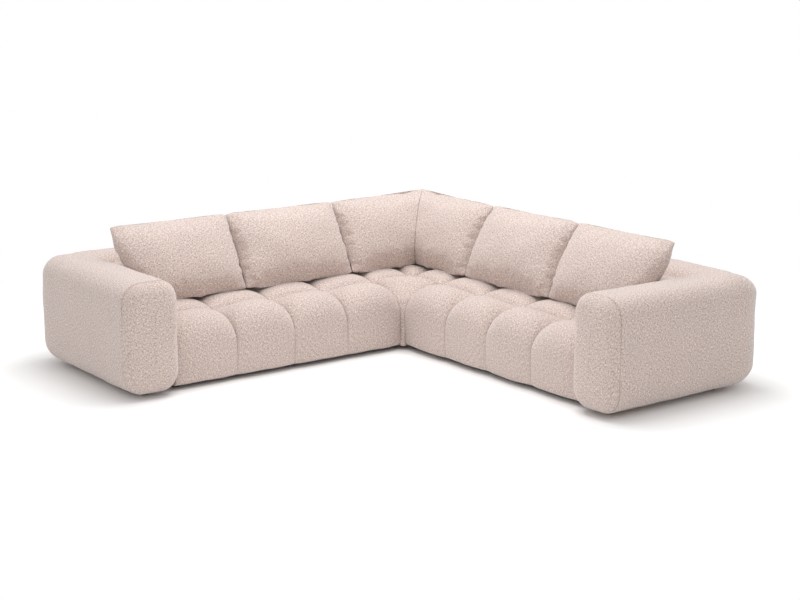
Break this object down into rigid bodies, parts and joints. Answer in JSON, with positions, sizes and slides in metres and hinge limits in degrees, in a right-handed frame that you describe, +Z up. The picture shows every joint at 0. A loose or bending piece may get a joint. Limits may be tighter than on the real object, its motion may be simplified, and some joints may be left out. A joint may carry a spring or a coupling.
{
  "type": "corner sofa",
  "caption": "L-shaped corner sofa with padded log arms and back rails, a channelled seat and loose back cushions that lift off",
  "frame": {"origin": "centre of the square footprint, on the floor", "axes": "+Z up; the two wings meet in the back corner towards +X +Y; the left wing runs along X and faces -Y, the right wing runs along Y and faces -X"},
  "size_m": [2.876, 2.876, 0.7996],
  "materials": {
    "upholstery": "matte woven chenille, warm pinkish beige",
    "foam": "matte foam",
    "filling": "matte fibre in an inner bag",
    "timber": "sawn softwood and board",
    "steel": "zinc plated",
    "plastic": "matte black",
    "dust_cloth": "black non-woven cloth"
  },
  "bodies": {
    "sofa": {"left_frame_bolts": "steel", "left_module_bolts": "steel", "left_arm_front_panel": "upholstery", "left_arm_cover": "upholstery", "left_arm_foam": "foam", "left_arm_frame": "timber", "left_rail_cover": "upholstery", "left_rail_foam": "foam", "left_rail_frame": "timber", "left_base_frame": "timber", "left_seat_springs": "steel", "left_spring_clips": "plastic", "left_seat_foam": "foam", "left_front_channels": "upholstery", "left_seat_pads": "upholstery", "left_back_pad": "upholstery", "left_feet": "plastic", "left_dust_cloth": "dust_cloth", "right_frame_bolts": "steel", "right_module_bolts": "steel", "right_arm_front_panel": "upholstery", "right_arm_cover": "upholstery", "right_arm_foam": "foam", "right_arm_frame": "timber", "right_rail_cover": "upholstery", "right_rail_foam": "foam", "right_rail_frame": "timber", "right_base_frame": "timber", "right_seat_springs": "steel", "right_spring_clips": "plastic", "right_seat_foam": "foam", "right_front_channels": "upholstery", "right_seat_pads": "upholstery", "right_back_pad": "upholstery", "right_feet": "plastic", "right_dust_cloth": "dust_cloth", "corner_frame_bolts": "steel", "corner_base_frame": "timber", "corner_springs": "steel", "corner_spring_clips": "plastic", "corner_seat_foam": "foam", "corner_seat_pads": "upholstery", "corner_back_pad": "upholstery", "corner_rail_cover": "upholstery", "corner_rail_foam": "foam", "corner_rail_frame": "timber", "corner_feet": "plastic", "corner_dust_cloth": "dust_cloth"},
    "left_arm_cushion": {"left_arm_cushion_cover": "upholstery", "left_arm_cushion_filling": "filling"},
    "left_middle_cushion": {"left_middle_cushion_cover": "upholstery", "left_middle_cushion_filling": "filling"},
    "left_corner_cushion": {"left_corner_cushion_cover": "upholstery", "left_corner_cushion_filling": "filling"},
    "right_arm_cushion": {"right_arm_cushion_cover": "upholstery", "right_arm_cushion_filling": "filling"},
    "right_middle_cushion": {"right_middle_cushion_cover": "upholstery", "right_middle_cushion_filling": "filling"},
    "right_corner_cushion": {"right_corner_cushion_cover": "upholstery", "right_corner_cushion_filling": "filling"}
  },
  "joints": [
    {"name": "left_arm_cushion_lift", "type": "slide", "parent": "sofa", "child": "left_arm_cushion", "axis": [0, 0, 1], "range_m": [0, 0.45]},
    {"name": "left_middle_cushion_lift", "type": "slide", "parent": "sofa", "child": "left_middle_cushion", "axis": [0, 0, 1], "range_m": [0, 0.45]},
    {"name": "left_corner_cushion_lift", "type": "slide", "parent": "sofa", "child": "left_corner_cushion", "axis": [0, 0, 1], "range_m": [0, 0.45]},
    {"name": "right_arm_cushion_lift", "type": "slide", "parent": "sofa", "child": "right_arm_cushion", "axis": [0, 0, 1], "range_m": [0, 0.45]},
    {"name": "right_middle_cushion_lift", "type": "slide", "parent": "sofa", "child": "right_middle_cushion", "axis": [0, 0, 1], "range_m": [0, 0.45]},
    {"name": "right_corner_cushion_lift", "type": "slide", "parent": "sofa", "child": "right_corner_cushion", "axis": [0, 0, 1], "range_m": [0, 0.45]}
  ]
}
